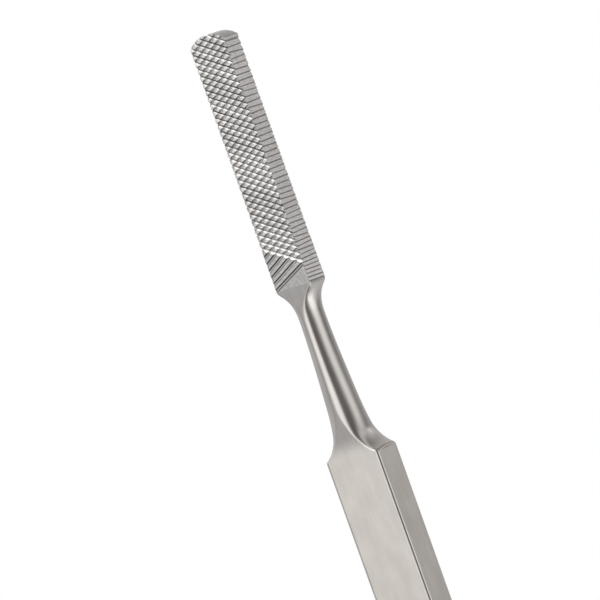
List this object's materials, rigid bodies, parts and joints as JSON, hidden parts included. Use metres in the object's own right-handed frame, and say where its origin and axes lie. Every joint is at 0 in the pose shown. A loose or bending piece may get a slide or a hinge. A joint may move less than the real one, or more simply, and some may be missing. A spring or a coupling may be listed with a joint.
{
  "type": "hand rasp",
  "caption": "One-piece stainless steel hand rasp: rectangular double-cut head with a rounded tip, waisted round neck and flat bar handle.",
  "frame": {"origin": "centre of the flat end face of the handle", "axes": "+Z along the tool from the handle's end to the head's rounded tip, -Y out of the head's front face, +X to the right as seen from the front"},
  "size_m": [0.018, 0.0084, 0.2285],
  "materials": {
    "satin_steel": "satin stainless steel, finely brushed on the handle and bright on the tooth crests"
  },
  "bodies": {
    "root": {"rasp_body": "satin_steel"}
  },
  "joints": []
}
